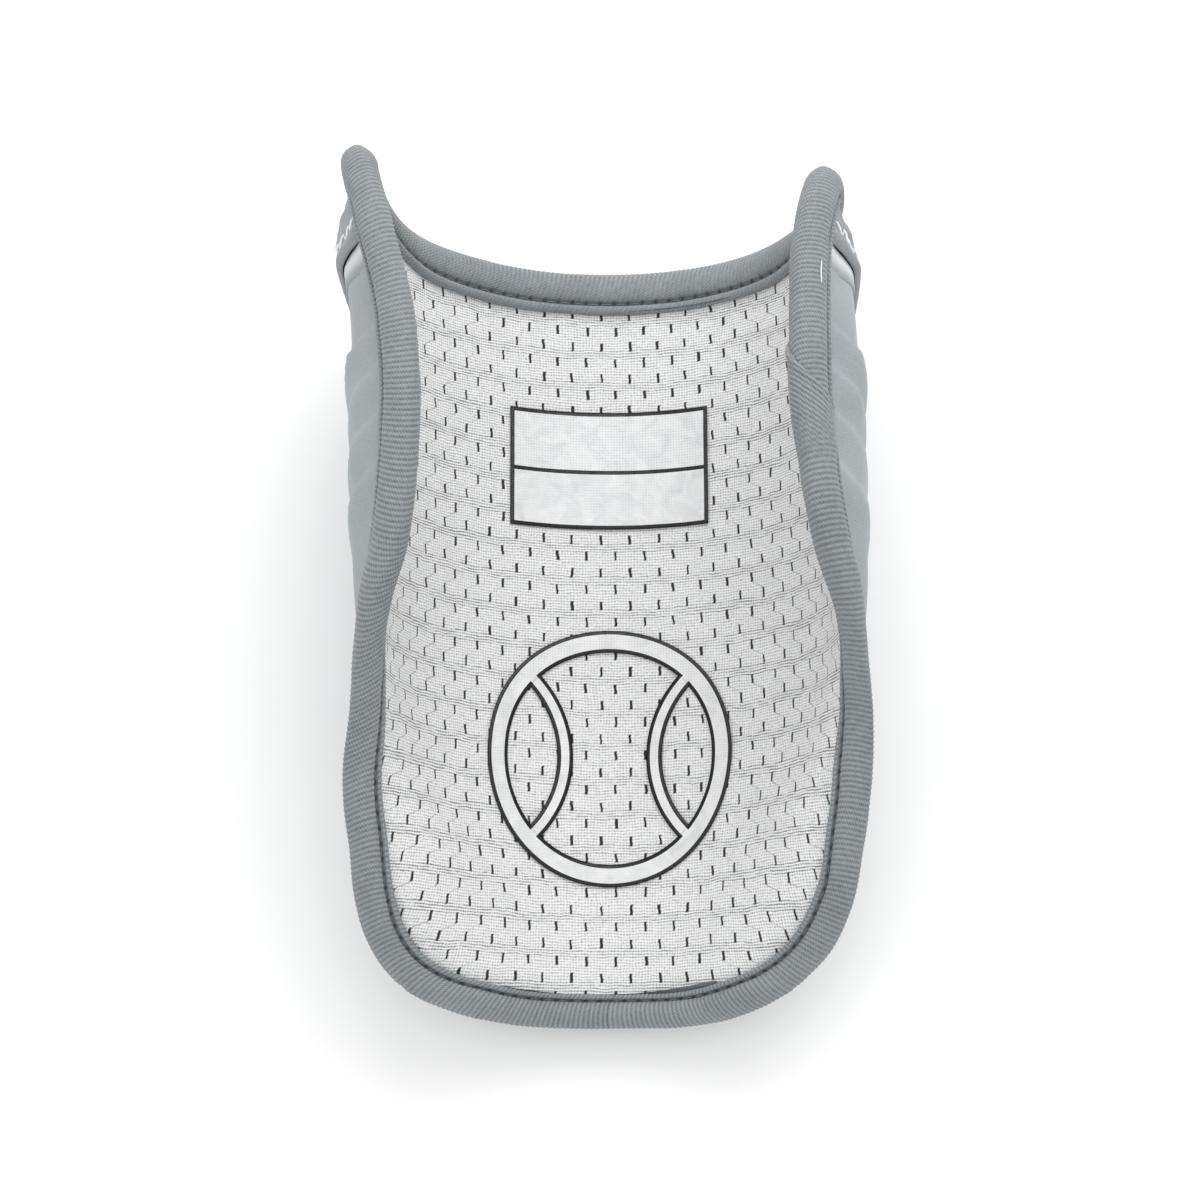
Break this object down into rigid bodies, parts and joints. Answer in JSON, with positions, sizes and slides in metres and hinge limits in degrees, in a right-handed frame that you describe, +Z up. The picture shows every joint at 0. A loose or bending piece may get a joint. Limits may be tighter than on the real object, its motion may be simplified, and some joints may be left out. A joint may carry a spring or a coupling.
{
  "type": "batter's elbow guard",
  "caption": "Curved padded guard for a batter's elbow: a mesh-lined half pipe with ribbed edge binding, upper horns and an outer strap yoke.",
  "frame": {"origin": "on the surface the guard lies on, under the middle of its outline, with the arm hollow facing up", "axes": "+Z up out of the arm hollow, +Y along the arm from the forearm end to the horns at the upper arm, +X to the right seen from above"},
  "size_m": [0.1192, 0.19, 0.089],
  "materials": {
    "shell_fabric": "smooth grey knit laminated over moulded foam",
    "lining_mesh": "white pin-hole sports mesh",
    "binding_tape": "grey ribbed knit tape",
    "facing_twill": "white twill",
    "printed_film": "satin heat-transfer film with black outlines"
  },
  "bodies": {
    "root": {"padded_shell": "shell_fabric", "mesh_lining": "lining_mesh", "edge_binding": "binding_tape", "binding_lap": "binding_tape", "strap_yoke": "shell_fabric", "facing_left": "facing_twill", "facing_right": "facing_twill", "name_label": "printed_film", "ball_emblem": "printed_film"}
  },
  "joints": []
}
